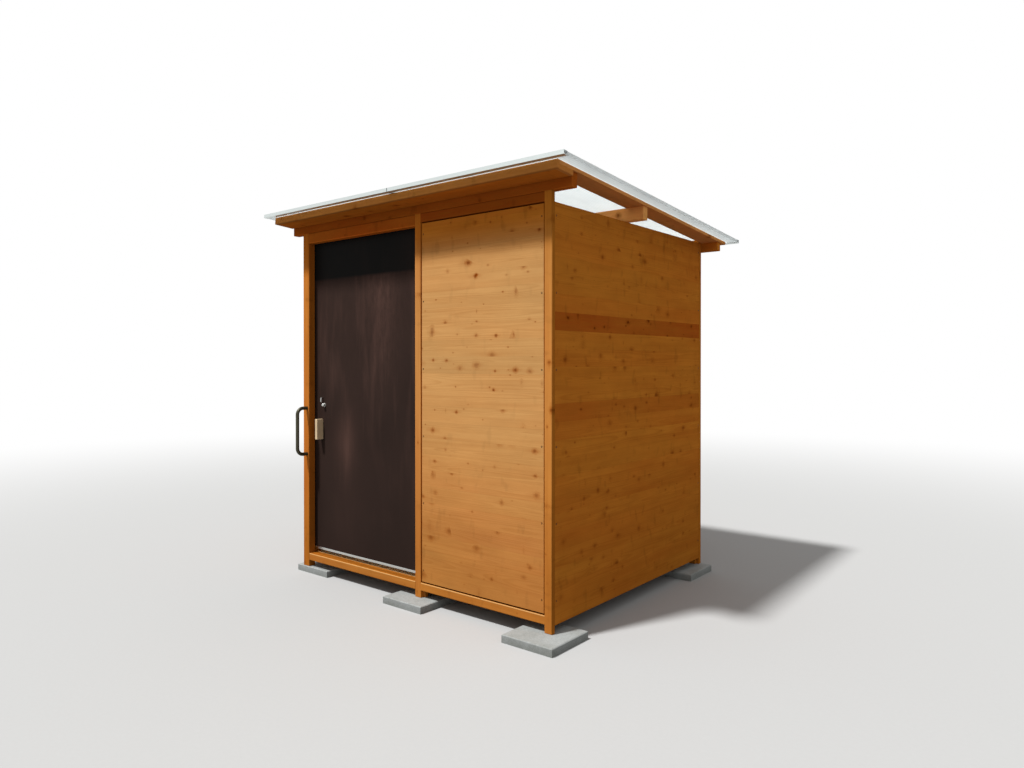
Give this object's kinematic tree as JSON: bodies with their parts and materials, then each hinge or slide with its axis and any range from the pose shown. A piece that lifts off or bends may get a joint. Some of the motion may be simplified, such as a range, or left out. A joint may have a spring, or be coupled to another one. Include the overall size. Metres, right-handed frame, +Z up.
{
  "type": "wooden outhouse",
  "caption": "Square timber-framed outhouse on paving slabs, with board walls, a lean-to translucent roof, a dark sliding door and a grab handle beside it.",
  "frame": {"origin": "on the ground under the middle of the roof", "axes": "+X to the right seen from the door, +Y from the door to the back wall, +Z up"},
  "size_m": [2.35, 1.986, 2.2978],
  "materials": {
    "post_timber": "satin",
    "rail_timber": "satin",
    "panel_board": "satin",
    "roof_timber": "satin",
    "floor_plywood": "satin",
    "paving_concrete": "matte",
    "roof_sheet": "satin",
    "trim_aluminium": "satin",
    "door_plywood": "semi-gloss",
    "track_steel": "satin",
    "guide_plastic": "matte",
    "pull_timber": "satin",
    "lock_steel": "satin",
    "handle_steel": "satin"
  },
  "bodies": {
    "root": {"post_front_left": "post_timber", "post_front_middle": "post_timber", "post_front_right": "post_timber", "post_rear_left": "post_timber", "post_rear_middle": "post_timber", "post_rear_right": "post_timber", "door_sill": "rail_timber", "door_header": "rail_timber", "panel_sill": "rail_timber", "panel_header": "rail_timber", "rear_sill_left": "rail_timber", "rear_sill_right": "rail_timber", "rear_header_left": "rail_timber", "rear_header_right": "rail_timber", "side_rail_left": "rail_timber", "side_rail_right": "rail_timber", "floor_joists": "rail_timber", "front_panel": "panel_board", "rear_panel_left": "panel_board", "rear_panel_right": "panel_board", "side_panel_left": "panel_board", "side_panel_right": "panel_board", "front_beam": "roof_timber", "middle_beam": "roof_timber", "rear_beam": "roof_timber", "verge_board_left": "roof_timber", "verge_board_right": "roof_timber", "front_board": "roof_timber", "rear_board": "roof_timber", "front_fascia": "roof_timber", "fascia_returns": "roof_timber", "floor_deck": "floor_plywood", "slabs_front": "paving_concrete", "slabs_rear": "paving_concrete", "roof_sheet_left": "roof_sheet", "roof_sheet_right": "roof_sheet", "roof_joint_profile": "trim_aluminium", "front_edge_profile": "trim_aluminium", "rear_edge_profile": "trim_aluminium", "door_track": "track_steel", "track_stops": "track_steel", "floor_guide": "guide_plastic", "grab_handle": "handle_steel"},
    "door": {"door_leaf": "door_plywood", "door_foot_channel": "trim_aluminium", "door_carriages": "track_steel", "door_pull": "pull_timber", "door_lock": "lock_steel", "door_staple": "lock_steel"}
  },
  "joints": [
    {"name": "door_slide", "type": "slide", "parent": "root", "child": "door", "axis": [1, 0, 0], "range_m": [0, 0.86]}
  ]
}
